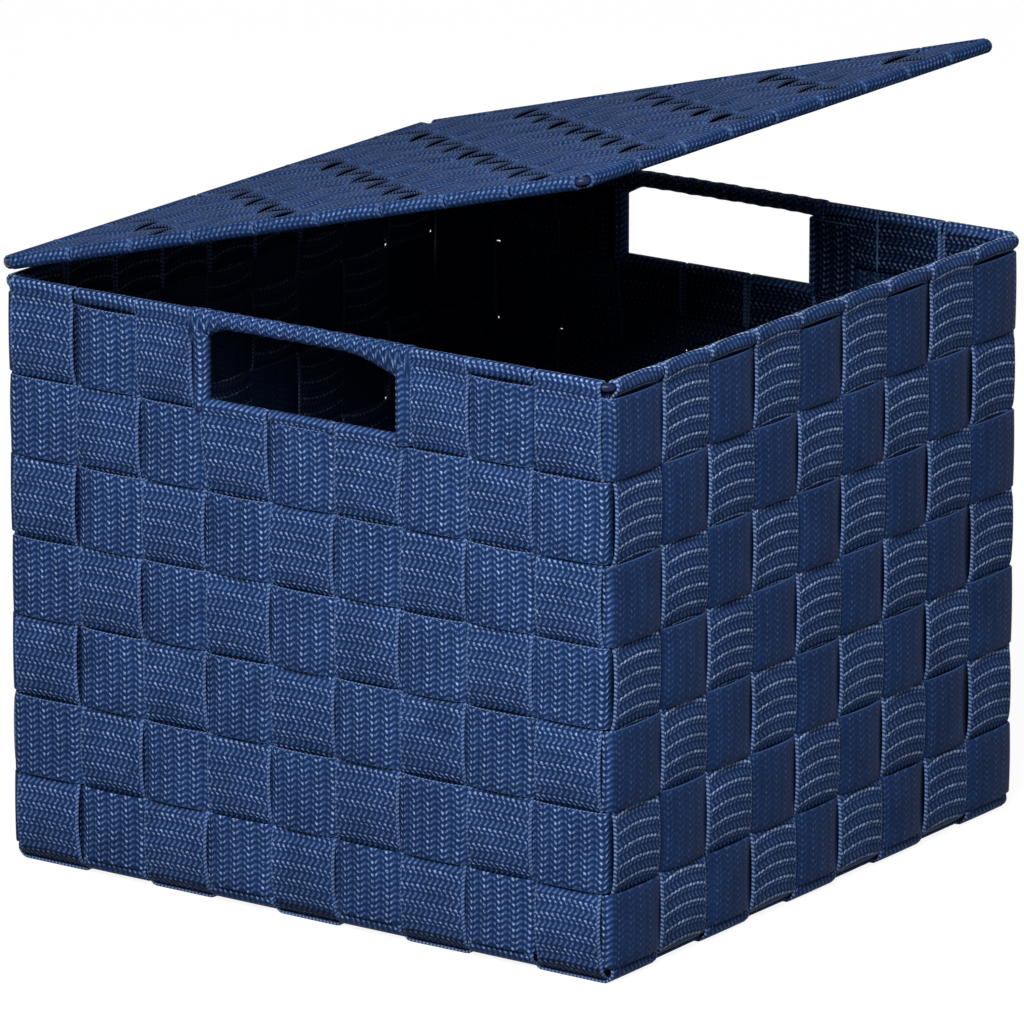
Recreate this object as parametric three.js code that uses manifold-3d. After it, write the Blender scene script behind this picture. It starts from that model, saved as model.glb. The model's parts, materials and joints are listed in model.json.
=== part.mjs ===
// A fabric storage basket with a hinged lid: flat webbing straps woven over and under
// each other, folded round a frame of painted steel wire. Millimetres, +Z up, the front
// with its hand slot towards -Y and the hinge on the -X side. The origin is the middle of
// the underside. Vertical straps run down one wall, under the bottom and up the opposite
// wall; hoops run round the four walls; the lid is a second flat weave on its own wire.
import * as THREE from 'three';
import { mergeVertices } from 'three/addons/utils/BufferGeometryUtils.js';
import Module from 'manifold-3d';

const wasm = await Module();
wasm.setup();

// Webbing: straps each side of the middle one, hoops, and the widths and gaps between
const STRAPS_BESIDE_MIDDLE = 4;
const HOOPS = 7;
const STRAP_WIDTH = 29;
const STRAP_GAP = 2;
const HOOP_WIDTH = 30;
const HOOP_GAP = 2.8;
const STRAP_THICKNESS = 1;
const WALL_LAYER_GAP = 0.5;
const FLAT_LAYER_GAP = 0.25;
const HEM = 22;
const HEM_STEP = 1.3;
const HEM_STEP_RUN = 2;

// Wire frame
const WIRE_RADIUS = 1.55;
const SLOT_WIRE_RADIUS = 1.2;
const FOLD_EASE = 0.35;
const RIM_RISE = 5.3;
const RIM_CORNER = 4.5;
const BASE_CORNER = 4;
const WIRE_FACETS = 8;
const GAP = 0.3;

// Hand slots in the front and back walls
const SLOT_STRAPS_BESIDE_MIDDLE = 1;
const SLOT_SIDE_ROOM = 3;
const SLOT_RISE = 3.1;
const SLOT_WIRE_CORNER = 4;
const SLOT_HEM = 20;
const GRIP_PAD = 0.5;

// Lid: its hinge wire's place over the rim wire and clear of the grips, its margins, and its
// photographed angle
const LID_OUTSET = 2.5;
const LID_CLEARANCE = 0.6;
const LID_ANGLE = THREE.MathUtils.degToRad(14.5);
const LID_HINGE_MARGIN = 5.2;
const LID_EDGE_MARGIN = 4;
const LID_CORNER = 3.5;
const TIE_RADIUS = 0.6;
const TIE_CORNERS = 3;
const TIE_GAPS = [-3.5, -1.5, 1.5, 3.5];

// Slopes of a strap where it leaves a fold over or under its first neighbour, and where
// it crosses between neighbours
const OVER_SLOPE = THREE.MathUtils.degToRad(20);
const UNDER_SLOPE = THREE.MathUtils.degToRad(50);
const STEEP_SLOPE = THREE.MathUtils.degToRad(65);
const TIGHT_SLOPE = THREE.MathUtils.degToRad(75);
const CROSSING_SLOPE = THREE.MathUtils.degToRad(45);
const FOLD_CORNERS = 4;

// The weave that follows from them
const STRAPS = 2 * STRAPS_BESIDE_MIDDLE + 1;
const STRAP_PITCH = STRAP_WIDTH + STRAP_GAP;
const HOOP_PITCH = HOOP_WIDTH + HOOP_GAP;
const CRIMP = (STRAP_THICKNESS + WALL_LAYER_GAP) / 2;
const FLAT_CRIMP = STRAP_THICKNESS + FLAT_LAYER_GAP;
const WIRE_FOLD = WIRE_RADIUS + FOLD_EASE + STRAP_THICKNESS / 2;
const SLOT_FOLD = SLOT_WIRE_RADIUS + FOLD_EASE + STRAP_THICKNESS / 2;
const weaveEdge = STRAPS_BESIDE_MIDDLE * STRAP_PITCH + STRAP_WIDTH / 2;
const middle = (index) => (index - (STRAPS + 1) / 2) * STRAP_PITCH;

// The walls' mid-planes and the wires' centre lines
const POST_INSET = CRIMP + WIRE_FOLD + GAP / 2;
const WALL = weaveEdge + POST_INSET + WIRE_RADIUS + FOLD_EASE;
const BOTTOM_Z = FLAT_CRIMP + STRAP_THICKNESS / 2;
const BASE_WIRE_RISE = FLAT_CRIMP + WIRE_FOLD;
const BASE_WIRE_Z = BOTTOM_Z + BASE_WIRE_RISE;
const HOOP_START_Z = BASE_WIRE_Z - HOOP_GAP / 2;
const gapUnderRow = (row) => HOOP_START_Z + (HOOPS - row) * HOOP_PITCH;
const hoopMiddle = (row) => gapUnderRow(row) + HOOP_PITCH / 2;
const RIM_Z = hoopMiddle(1) + HOOP_WIDTH / 2 + RIM_RISE;
const lidReach = LID_HINGE_MARGIN + 2 * weaveEdge + LID_EDGE_MARGIN;
const lidHalf = weaveEdge + LID_EDGE_MARGIN;

// The slots' straps, wires and grips, and where the cut straps are trimmed at a bent wire
const MIDDLE_STRAP = STRAPS_BESIDE_MIDDLE + 1;
const FIRST_SLOT_STRAP = MIDDLE_STRAP - SLOT_STRAPS_BESIDE_MIDDLE;
const LAST_SLOT_STRAP = MIDDLE_STRAP + SLOT_STRAPS_BESIDE_MIDDLE;
const SLOT_EDGE = (SLOT_STRAPS_BESIDE_MIDDLE + 1) * STRAP_PITCH - STRAP_WIDTH / 2;
const SLOT_WIRE_X = SLOT_EDGE - SLOT_SIDE_ROOM;
const SLOT_WIRE_Z = hoopMiddle(2) + HOOP_WIDTH / 2 + SLOT_RISE;
const SLOT_NOTCH_X = SLOT_WIRE_X - SLOT_WIRE_CORNER - FOLD_EASE;
const SLOT_NOTCH_Z = SLOT_WIRE_Z + SLOT_WIRE_CORNER + SLOT_WIRE_RADIUS;
const GRIP_BORE = WIRE_RADIUS / Math.cos(Math.PI / WIRE_FACETS) + GAP;
const GRIP_RADIUS = WIRE_FOLD + STRAP_THICKNESS / 2 + GRIP_PAD;
const GRIP_HALF_LENGTH = SLOT_WIRE_X - SLOT_WIRE_RADIUS - 3 * GAP;
const FOLD_DEPTH = SLOT_FOLD + STRAP_THICKNESS;
const HEM_OUT = CRIMP + STRAP_THICKNESS / 2 + GAP / 2;

const navyWebbing = new THREE.MeshStandardMaterial({ color: 0x2c4672, roughness: 0.62, metalness: 0 });
const navyPaint = new THREE.MeshStandardMaterial({ color: 0x1b2e55, roughness: 0.35, metalness: 0.2 });
const navyCord = new THREE.MeshStandardMaterial({ color: 0x22375f, roughness: 0.8, metalness: 0 });

// A path's points moved sideways by a distance, with mitred corners
function offsetPath(points, distance, closed) {
  const count = points.length;
  return points.map((point, k) => {
    const before = closed || k > 0 ? points[(k - 1 + count) % count] : null;
    const after = closed || k < count - 1 ? points[(k + 1) % count] : null;
    const arriving = before && point.clone().sub(before).normalize();
    const leaving = after && after.clone().sub(point).normalize();
    const first = arriving || leaving;
    const second = leaving || arriving;
    const normalA = new THREE.Vector2(-first.y, first.x);
    const normalB = new THREE.Vector2(-second.y, second.x);
    const mitre = normalA.clone().add(normalB).divideScalar(1 + normalA.dot(normalB));
    return point.clone().addScaledVector(mitre, distance);
  });
}

// The flat outline of a strip laid along a path; a closed path gives a ring
function stripShape(points, width, closed) {
  const left = offsetPath(points, width / 2, closed);
  const right = offsetPath(points, -width / 2, closed);
  if (!closed) return new THREE.Shape([...left, ...right.reverse()]);
  const area = THREE.ShapeUtils.area(left);
  const leftOutside = Math.abs(area) > Math.abs(THREE.ShapeUtils.area(right));
  const ring = new THREE.Shape(leftOutside ? left : right);
  ring.holes.push(new THREE.Path(leftOutside ? right : left));
  return ring;
}

// A strap: its side view along a path, extruded to the strap's width about z = 0
function strapGeometry(points, width, closed = false) {
  const shape = stripShape(points, STRAP_THICKNESS, closed);
  const geometry = new THREE.ExtrudeGeometry(shape, { depth: width, bevelEnabled: false });
  return geometry.translate(0, 0, -width / 2);
}

// A wire bent in a plane: a narrow strip whose bevels make its section eight-sided
function wireGeometry(points, radius, closed = false) {
  const flat = radius * Math.tan(Math.PI / WIRE_FACETS);
  const bevel = radius - flat;
  const geometry = new THREE.ExtrudeGeometry(stripShape(points, 2 * flat, closed), {
    depth: 2 * flat, bevelThickness: bevel, bevelSize: bevel, bevelSegments: 1,
  });
  return geometry.translate(0, 0, -flat);
}

// A rectangle with rounded corners as a closed path
function roundedLoop(left, bottom, right, top, radius, steps = 3) {
  const corners = [
    [right, bottom, -1, 1], [right, top, -1, -1], [left, top, 1, -1], [left, bottom, 1, 1],
  ];
  return corners.flatMap(([x, y, inX, inY], corner) => {
    const centre = new THREE.Vector2(x + inX * radius, y + inY * radius);
    return Array.from({ length: steps }, (_, k) => {
      const angle = (corner - 1 + k / (steps - 1)) * Math.PI / 2;
      return centre.clone().add(new THREE.Vector2(Math.cos(angle), Math.sin(angle)).multiplyScalar(radius));
    });
  });
}

// A strap's free end folded round a wire: [distance from the wire, distance out of the
// panel], from the hem inside, round the wire, to the strap's own layer. A stepped hem
// dips to pass over another hem.
function foldRound(radius, slope, layer, hem, stepped = false) {
  const turn = (Math.PI + slope) / FOLD_CORNERS;
  const reach = radius / Math.cos(turn / 2);
  const corners = Array.from({ length: FOLD_CORNERS }, (_, k) => {
    const angle = turn * (k + 0.5);
    return [-reach * Math.sin(angle), -reach * Math.cos(angle)];
  });
  const landing = (radius - layer * Math.cos(slope)) / Math.sin(slope);
  const lowered = -radius - HEM_STEP;
  const dip = [[hem, lowered], [HEM_STEP + HEM_STEP_RUN, lowered], [HEM_STEP, -radius]];
  return [...(stepped ? dip : [[hem, -radius]]), ...corners, [landing, layer]];
}

// The two corners of a strap that crosses from one layer to the next at a gap
function crossing(at, from, to, slope = CROSSING_SLOPE) {
  const run = Math.abs(to - from) / Math.tan(slope) / 2;
  return [[at - run, from], [at + run, to]];
}

// A bend round an upright or base wire: distances from that wire along two directions
function bendCorners(first, second) {
  const diagonal = (first + second) / Math.SQRT2;
  return [[first, diagonal - first], [diagonal - second, second]];
}

// A path and its mirror image joined into one symmetrical path
function mirrored(points) {
  return [...points, ...points.map((point) => new THREE.Vector2(-point.x, point.y)).reverse()];
}

// The box between two opposite corners
function boxBetween(from, to) {
  const box = new THREE.Box3().setFromPoints([from, to].map((corner) => new THREE.Vector3(...corner)));
  const size = box.getSize(new THREE.Vector3());
  const centre = box.getCenter(new THREE.Vector3());
  return new THREE.BoxGeometry(size.x, size.y, size.z).translate(centre.x, centre.y, centre.z);
}

// A solid with boxes cut away
function cutBoxes(geometry, boxes) {
  const solid = (source) => {
    const plain = source.clone();
    plain.deleteAttribute('normal');
    plain.deleteAttribute('uv');
    const merged = mergeVertices(plain, 1e-4);
    return new wasm.Manifold(new wasm.Mesh({
      numProp: 3,
      vertProperties: merged.attributes.position.array,
      triVerts: Uint32Array.from(merged.index.array),
    }));
  };
  let body = solid(geometry);
  for (const box of boxes) body = body.subtract(solid(box));
  const result = body.getMesh();
  const cut = new THREE.BufferGeometry();
  cut.setAttribute('position', new THREE.BufferAttribute(result.vertProperties, 3));
  cut.setIndex(new THREE.BufferAttribute(result.triVerts, 1));
  return cut;
}

function addMesh(group, name, geometry, material) {
  const mesh = new THREE.Mesh(geometry, material);
  mesh.name = name;
  group.add(mesh);
  return mesh;
}

// Turns that stand a flat drawing up: its x and y become Y and Z, or X and Z
const facingX = new THREE.Quaternion().setFromRotationMatrix(new THREE.Matrix4().makeBasis(
  new THREE.Vector3(0, 1, 0), new THREE.Vector3(0, 0, 1), new THREE.Vector3(1, 0, 0)));
const facingY = new THREE.Quaternion().setFromAxisAngle(new THREE.Vector3(1, 0, 0), Math.PI / 2);

// The weave: which layer a wall's vertical strap takes at each hoop, +1 outside. Rows
// count from the top, straps from the corner between the front and the right wall.
const frontLayer = (strap, row) => ((strap + row) % 2 === 0 ? 1 : -1);
const sideLayer = (strap, row) => ((strap + row) % 2 === 1 ? 1 : -1);

// Half a vertical strap's path, from its hem down one wall and round the base wire
function wallHalf(layer, { slotted, stepped }, bottomLayer) {
  const atSlot = [SLOT_WIRE_Z, SLOT_FOLD, SLOT_HEM, 2];
  const atRim = [RIM_Z, WIRE_FOLD, HEM, 1];
  const [topWire, fold, hem, firstRow] = slotted ? atSlot : atRim;
  const place = (out, z) => new THREE.Vector2(-(WALL + out), z);
  const top = layer(firstRow) * CRIMP;
  const under = slotted ? TIGHT_SLOPE : UNDER_SLOPE;
  const path = foldRound(fold, top > 0 ? OVER_SLOPE : under, top, hem, stepped)
    .map(([down, out]) => place(out, topWire - down));
  for (let row = firstRow; row < HOOPS; row += 1) {
    const steps = crossing(-gapUnderRow(row), layer(row) * CRIMP, layer(row + 1) * CRIMP);
    path.push(...steps.map(([down, out]) => place(out, -down)));
  }
  const wire = new THREE.Vector2(-(WALL - POST_INSET), BASE_WIRE_Z);
  const bend = bendCorners(POST_INSET + layer(HOOPS) * CRIMP, BASE_WIRE_RISE + bottomLayer);
  path.push(...bend.map(([out, down]) => new THREE.Vector2(wire.x - out, wire.y - down)));
  return path;
}

// Straps that run from the front wall under the bottom to the back wall; they lie flat
// underneath. The middle three end at the slot wires, and the hems beside a slot step over
// those of the cut hoop.
function frontStrap(strap) {
  const slotted = strap >= FIRST_SLOT_STRAP && strap <= LAST_SLOT_STRAP;
  const stepped = strap === FIRST_SLOT_STRAP - 1 || strap === LAST_SLOT_STRAP + 1;
  const wallPath = wallHalf((row) => frontLayer(strap, row), { slotted, stepped }, 0);
  return strapGeometry(mirrored(wallPath), STRAP_WIDTH);
}

// Straps that run from the left wall under the bottom to the right wall, in and out of
// the front-to-back straps there
function sideStrap(strap) {
  const under = (crossed) => ((HOOPS + crossed + strap) % 2 === 1 ? 1 : -1) * FLAT_CRIMP;
  const path = wallHalf((row) => sideLayer(strap, row), {}, under(1));
  for (let crossed = 1; crossed < MIDDLE_STRAP; crossed += 1) {
    const at = middle(crossed) + STRAP_PITCH / 2;
    const steps = crossing(at, under(crossed), under(crossed + 1), TIGHT_SLOPE);
    path.push(...steps.map(([x, out]) => new THREE.Vector2(x, BOTTOM_Z - out)));
  }
  return strapGeometry(mirrored(path), STRAP_WIDTH);
}

// A hoop's run along one wall as [along the wall, out of the wall], from one gap to the
// next, starting at a strap
function hoopRun(layers, start = 1) {
  return layers.slice(1).flatMap((layer, k) => (
    crossing(middle(start + k) + STRAP_PITCH / 2, layers[k] * CRIMP, layer * CRIMP)));
}

// The four walls seen from above: direction along each and direction out of it
const walls = [0, 1, 2, 3].map((quarter) => {
  const angle = quarter * Math.PI / 2;
  return {
    along: new THREE.Vector2(Math.round(Math.cos(angle)), Math.round(Math.sin(angle))),
    out: new THREE.Vector2(Math.round(Math.sin(angle)), -Math.round(Math.cos(angle))),
  };
});
const onWall = (wall, along, out) => (
  wall.along.clone().multiplyScalar(along).addScaledVector(wall.out, WALL + out));

// A hoop's layer at each strap of a wall, in the order in which the hoop meets them
function hoopLayers(wallIndex, row) {
  return Array.from({ length: STRAPS }, (_, k) => {
    const strap = wallIndex === 0 || wallIndex === 3 ? STRAPS - k : k + 1;
    return wallIndex % 2 === 0 ? -frontLayer(strap, row) : -sideLayer(strap, row);
  });
}

// The bend of a hoop round the corner post between a wall and the next one
function hoopBend(wallIndex, layerBefore, layerAfter) {
  const wall = walls[wallIndex];
  const next = walls[(wallIndex + 1) % 4];
  const post = wall.out.clone().add(next.out).multiplyScalar(WALL - POST_INSET);
  return bendCorners(POST_INSET + layerBefore * CRIMP, POST_INSET + layerAfter * CRIMP).map(([a, b]) => (
    post.clone().addScaledVector(wall.out, a).addScaledVector(next.out, b)));
}

function fullHoop(row) {
  const path = walls.flatMap((wall, index) => {
    const layers = hoopLayers(index, row);
    const after = hoopLayers((index + 1) % 4, row)[0];
    const steps = hoopRun(layers).map(([along, out]) => onWall(wall, along, out));
    return [...steps, ...hoopBend(index, layers[STRAPS - 1], after)];
  });
  return strapGeometry(path, HOOP_WIDTH, true);
}

// The top row on the right: it ends folded round the slot wires of the front and the back.
// The fold is cut short below, where the slot wire bends.
function halfHoop() {
  const row = 1;
  const frontLayers = hoopLayers(0, row).slice(LAST_SLOT_STRAP);
  const sideLayers = hoopLayers(1, row);
  const end = foldRound(SLOT_FOLD, TIGHT_SLOPE, frontLayers[0] * CRIMP, SLOT_HEM)
    .map(([along, out]) => [SLOT_WIRE_X + along, out]);
  const front = [...end, ...hoopRun(frontLayers, LAST_SLOT_STRAP + 1)]
    .map(([along, out]) => onWall(walls[0], along, out));
  const side = hoopRun(sideLayers).map(([along, out]) => onWall(walls[1], along, out));
  const bend = hoopBend(0, frontLayers.at(-1), sideLayers[0]);
  const toBack = (points) => points.map((point) => new THREE.Vector2(point.x, -point.y)).reverse();
  const path = [...front, ...bend, ...side, ...toBack(bend), ...toBack(front)];

  const foldStart = SLOT_WIRE_X - 2 * SLOT_FOLD;
  const foldEnd = SLOT_WIRE_X + SLOT_FOLD + STRAP_THICKNESS / 2;
  const hemEnd = SLOT_WIRE_X + SLOT_HEM + GAP;
  const top = SLOT_NOTCH_Z - hoopMiddle(row);
  return cutBoxes(strapGeometry(path, HOOP_WIDTH), [-1, 1].flatMap((wall) => {
    const outside = wall * (WALL + FOLD_DEPTH);
    const inside = wall * (WALL - FOLD_DEPTH);
    return [
      boxBetween([foldStart, outside, -HOOP_WIDTH], [foldEnd, inside, top]),
      boxBetween([foldStart, wall * (WALL - HEM_OUT), -HOOP_WIDTH], [hemEnd, inside, top]),
    ];
  }));
}

// A slot strap trimmed along the side next to the slot wire's bent corner: its fold, and
// its hem behind
function trimBesideWire(geometry, x) {
  const outward = Math.sign(x);
  const edge = outward * (SLOT_NOTCH_X - Math.abs(x));
  const beyond = outward * STRAP_WIDTH;
  const hemLow = SLOT_WIRE_Z - SLOT_HEM - GAP;
  return cutBoxes(geometry, [-1, 1].flatMap((wall) => {
    const outside = wall * (WALL + FOLD_DEPTH);
    const inside = wall * (WALL - FOLD_DEPTH);
    return [
      boxBetween([outside, SLOT_WIRE_Z - 2 * SLOT_FOLD, edge], [inside, RIM_Z, beyond]),
      boxBetween([wall * (WALL - HEM_OUT), hemLow, edge], [inside, RIM_Z, beyond]),
    ];
  }));
}

const basket = new THREE.Group();

for (let strap = 1; strap <= STRAPS; strap += 1) {
  // Front-to-back straps are numbered from the right end of the front wall
  const x = -middle(strap);
  let geometry = frontStrap(strap);
  if (strap === FIRST_SLOT_STRAP || strap === LAST_SLOT_STRAP) {
    geometry = trimBesideWire(geometry, x);
  }
  const mesh = addMesh(basket, `front_back_strap_${strap}`, geometry, navyWebbing);
  mesh.quaternion.copy(facingX);
  mesh.position.x = x;
}

for (let strap = 1; strap <= STRAPS; strap += 1) {
  // Side-to-side straps are numbered from the front
  const mesh = addMesh(basket, `side_side_strap_${strap}`, sideStrap(strap), navyWebbing);
  mesh.quaternion.copy(facingY);
  mesh.position.y = middle(strap);
}

for (let row = 2; row <= HOOPS; row += 1) {
  addMesh(basket, `hoop_${row}`, fullHoop(row), navyWebbing).position.z = hoopMiddle(row);
}
for (const [name, turn] of [['right', 0], ['left', Math.PI]]) {
  const mesh = addMesh(basket, `hoop_1_${name}`, halfHoop(), navyWebbing);
  mesh.position.z = hoopMiddle(1);
  mesh.rotation.z = turn;
}

// Rim and base wires with the four posts welded between them
const rimPath = roundedLoop(-WALL, -WALL, WALL, WALL, RIM_CORNER);
const rimWire = wireGeometry(rimPath, WIRE_RADIUS, true);
addMesh(basket, 'rim_wire', rimWire, navyPaint).position.z = RIM_Z;
const baseSide = WALL - POST_INSET;
const basePath = roundedLoop(-baseSide, -baseSide, baseSide, baseSide, BASE_CORNER);
const baseWire = wireGeometry(basePath, WIRE_RADIUS, true);
addMesh(basket, 'base_wire', baseWire, navyPaint).position.z = BASE_WIRE_Z;

const postBottom = BASE_WIRE_Z + WIRE_RADIUS + GAP;
const postTop = RIM_Z - WIRE_RADIUS - GAP;
const corners = [
  ['front_right', 1, -1], ['back_right', 1, 1], ['back_left', -1, 1], ['front_left', -1, -1],
];
for (const [name, x, y] of corners) {
  const post = new THREE.CylinderGeometry(WIRE_RADIUS, WIRE_RADIUS, postTop - postBottom, WIRE_FACETS);
  const mesh = addMesh(basket, `post_${name}`, post, navyPaint);
  mesh.rotation.x = Math.PI / 2;
  mesh.position.set(x * baseSide, y * baseSide, (postBottom + postTop) / 2);
}

// Hand slots: a U of wire under the rim, and webbing wound round the rim as a grip
const slotTop = RIM_Z - WIRE_RADIUS - SLOT_WIRE_RADIUS - GAP;
const slotCorner = SLOT_WIRE_CORNER * (1 - Math.SQRT1_2);
const slotLeft = [
  [-SLOT_WIRE_X, slotTop],
  [-SLOT_WIRE_X, SLOT_WIRE_Z + SLOT_WIRE_CORNER],
  [-SLOT_WIRE_X + slotCorner, SLOT_WIRE_Z + slotCorner],
  [-SLOT_WIRE_X + SLOT_WIRE_CORNER, SLOT_WIRE_Z],
].map(([x, z]) => new THREE.Vector2(x, z));
const gripProfile = [
  [GRIP_BORE, -GRIP_HALF_LENGTH], [GRIP_RADIUS, -GRIP_HALF_LENGTH],
  [GRIP_RADIUS, GRIP_HALF_LENGTH], [GRIP_BORE, GRIP_HALF_LENGTH], [GRIP_BORE, -GRIP_HALF_LENGTH],
].map(([radius, along]) => new THREE.Vector2(radius, along));
for (const [name, side] of [['front', -1], ['back', 1]]) {
  const wire = addMesh(
    basket, `slot_wire_${name}`, wireGeometry(mirrored(slotLeft), SLOT_WIRE_RADIUS), navyPaint);
  wire.quaternion.copy(facingY);
  wire.position.y = side * WALL;
  const sleeve = new THREE.LatheGeometry(gripProfile, WIRE_FACETS);
  const grip = addMesh(basket, `grip_${name}`, sleeve, navyWebbing);
  grip.rotation.z = Math.PI / 2;
  grip.position.set(0, side * WALL, RIM_Z);
}

// Hinge ties: cord loops round the rim wire and the lid wire, in the gaps between straps
const rimCentre = new THREE.Vector2(-WALL, RIM_Z);
const lidRise = WIRE_FOLD + STRAP_THICKNESS / 2 + GRIP_RADIUS + LID_CLEARANCE;
const lidCentre = new THREE.Vector2(-WALL - LID_OUTSET, RIM_Z + lidRise);
const tieLoop = GRIP_BORE + TIE_RADIUS;
const tieLean = lidCentre.clone().sub(rimCentre).angle();
const tieStep = Math.PI / TIE_CORNERS;
const tiePath = [[lidCentre, -1], [rimCentre, 1]].flatMap(([centre, start]) => (
  Array.from({ length: TIE_CORNERS }, (_, k) => {
    const angle = tieLean + start * Math.PI / 2 + tieStep * (k + 0.5);
    const reach = tieLoop / Math.cos(tieStep / 2);
    return centre.clone().add(new THREE.Vector2(Math.cos(angle), Math.sin(angle)).multiplyScalar(reach));
  })));
TIE_GAPS.forEach((gaps, k) => {
  const tie = addMesh(basket, `hinge_tie_${k + 1}`, wireGeometry(tiePath, TIE_RADIUS, true), navyCord);
  tie.quaternion.copy(facingY);
  tie.position.y = gaps * STRAP_PITCH;
});

// Lid: hinge wire on the group's Y axis, the weave reaching towards +X
const lid = new THREE.Group();
lid.position.set(lidCentre.x, 0, lidCentre.y);
lid.rotation.y = -LID_ANGLE;
const lidLayer = (fromHinge, fromFront) => ((fromHinge + fromFront) % 2 === 1 ? 1 : -1);

// Straps that lie along the hinge, in and out of the flat ones, and fold round the front
// and back of the lid wire. A hem steps over those at the corners, and off its own strap
// where that starts underneath.
for (let strap = 1; strap <= STRAPS; strap += 1) {
  const layers = Array.from({ length: STRAPS }, (_, k) => lidLayer(strap, k + 1) * FLAT_CRIMP);
  const over = layers[0] > 0;
  const stepped = !over || strap === 1 || strap === STRAPS;
  const path = foldRound(WIRE_FOLD, over ? OVER_SLOPE : STEEP_SLOPE, layers[0], HEM, stepped)
    .map(([along, out]) => new THREE.Vector2(along - lidHalf, out));
  for (let crossed = 1; crossed < MIDDLE_STRAP; crossed += 1) {
    const at = middle(crossed) + STRAP_PITCH / 2;
    const steps = crossing(at, layers[crossed - 1], layers[crossed], TIGHT_SLOPE);
    path.push(...steps.map(([along, out]) => new THREE.Vector2(along, out)));
  }
  const mesh = addMesh(
    lid, `lid_long_strap_${strap}`, strapGeometry(mirrored(path), STRAP_WIDTH), navyWebbing);
  mesh.quaternion.copy(facingX);
  mesh.position.x = LID_HINGE_MARGIN + weaveEdge + middle(strap);
}

// Straps that run flat from the hinge to the free edge
for (let strap = 1; strap <= STRAPS; strap += 1) {
  const fold = foldRound(WIRE_FOLD, UNDER_SLOPE, 0, HEM);
  const hinge = fold.map(([along, out]) => new THREE.Vector2(along, out));
  const free = fold.map(([along, out]) => new THREE.Vector2(lidReach - along, out)).reverse();
  const mesh = addMesh(
    lid, `lid_cross_strap_${strap}`, strapGeometry([...hinge, ...free], STRAP_WIDTH), navyWebbing);
  mesh.quaternion.copy(facingY);
  mesh.position.y = middle(strap);
}

const lidPath = roundedLoop(0, -lidHalf, lidReach, lidHalf, LID_CORNER);
addMesh(lid, 'lid_wire', wireGeometry(lidPath, WIRE_RADIUS, true), navyPaint);

const part = new THREE.Group();
part.add(basket, lid);
export default part;
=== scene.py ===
import json
import math

import bpy
import numpy as np
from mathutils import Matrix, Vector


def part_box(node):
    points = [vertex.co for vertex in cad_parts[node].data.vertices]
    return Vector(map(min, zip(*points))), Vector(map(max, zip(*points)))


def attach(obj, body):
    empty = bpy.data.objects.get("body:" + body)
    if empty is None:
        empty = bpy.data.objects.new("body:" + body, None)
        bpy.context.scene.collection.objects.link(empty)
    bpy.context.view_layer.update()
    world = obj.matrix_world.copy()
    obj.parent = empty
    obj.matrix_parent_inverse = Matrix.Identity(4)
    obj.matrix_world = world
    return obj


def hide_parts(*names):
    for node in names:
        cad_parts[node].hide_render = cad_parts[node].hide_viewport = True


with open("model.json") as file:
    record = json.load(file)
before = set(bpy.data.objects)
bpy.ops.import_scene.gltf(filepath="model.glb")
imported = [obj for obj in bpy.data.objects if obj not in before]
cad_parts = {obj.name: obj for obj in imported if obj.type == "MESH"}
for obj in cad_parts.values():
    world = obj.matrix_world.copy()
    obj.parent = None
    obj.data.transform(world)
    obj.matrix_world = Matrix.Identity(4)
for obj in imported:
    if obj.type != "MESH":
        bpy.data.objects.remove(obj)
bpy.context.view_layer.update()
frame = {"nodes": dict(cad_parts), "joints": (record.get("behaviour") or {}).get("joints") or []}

# Camera. The basket was photographed from in front and to its right, a little above it,
# with a long lens from almost four metres away, so that upright edges stay upright.
# The angles and the place were worked out from the basket's corners in the photograph.
VIEW_AZIMUTH = math.radians(35.12)
VIEW_ELEVATION = math.radians(15.47)
VIEW_PLACE = (2.2150, -3.1524, 1.2002)
VIEW_LENS = 351.6
VIEW_SENSOR = 36
VIEW_REACH = 50

camera_data = bpy.data.cameras.new("camera")
camera_data.lens = VIEW_LENS
camera_data.sensor_width = VIEW_SENSOR
camera_data.clip_end = VIEW_REACH
camera = bpy.data.objects.new("camera", camera_data)
bpy.context.scene.collection.objects.link(camera)
camera.location = VIEW_PLACE
camera.rotation_euler = (math.pi / 2 - VIEW_ELEVATION, 0, VIEW_AZIMUTH)
bpy.context.scene.camera = camera


# Front-to-back straps. Nine flat webbing straps that hang from the rim wire, run down the
# front wall in and out of the hoops, under the bottom and up the back wall. Each end is
# folded over the wire and hemmed inside. The middle three end at the wires of the slots.
MM = 0.001
HOOPS = 7
STRAPS = 9
MIDDLE_STRAP = 5
THICKNESS = 1.15
SPREAD_OUT = 1.8
LAYER = 0.95
FLAT_LAYER = 1.25
FOLD_RADIUS = 2.45
SLOT_FOLD_RADIUS = 2.1
FOLD_TURNS = 8
OUTER_SLOPE = math.radians(20)
INNER_SLOPE = math.radians(50)
STEEP_SLOPE = math.radians(75)
RIM_HEM = 22
SLOT_HEM = 20
HEM_TOP = 1
CROSSING_RUN = 2.7
FRONT_DIVE = 4.2
BULGE_OUT = 0.8
BULGE_IN = 0.25
CELL_STEPS = 8
CAMBER = 0.3
CAMBER_RISE = 2.5
BASE_BEND_CUT = 3.0
BASE_TUCK = 3.2
BASE_LAYER = 0.5
EDGE_SHIFT = 1.9
TOP_POINTS = 11
UNDER_POINTS = 5
EDGE_TURNS = [math.radians(angle) for angle in (45, 90, 135)]
UNDERSIDE = -0.49
INNER_MARK = 100
PATH_STEP = 0.25
PATH_SOFTNESS = 0.9
SOFTENED_OVER = 3
LONGEST_FACE = 2.6
BEND_DETAIL = 1.1
WANDER = 0.25
WANDER_WAVES = 3
WANDER_TURNS = (2, 9)
WANDER_START = (0, 6.28)


def box_mm(node):
    low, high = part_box(node)
    return np.array(low) / MM, np.array(high) / MM


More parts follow.
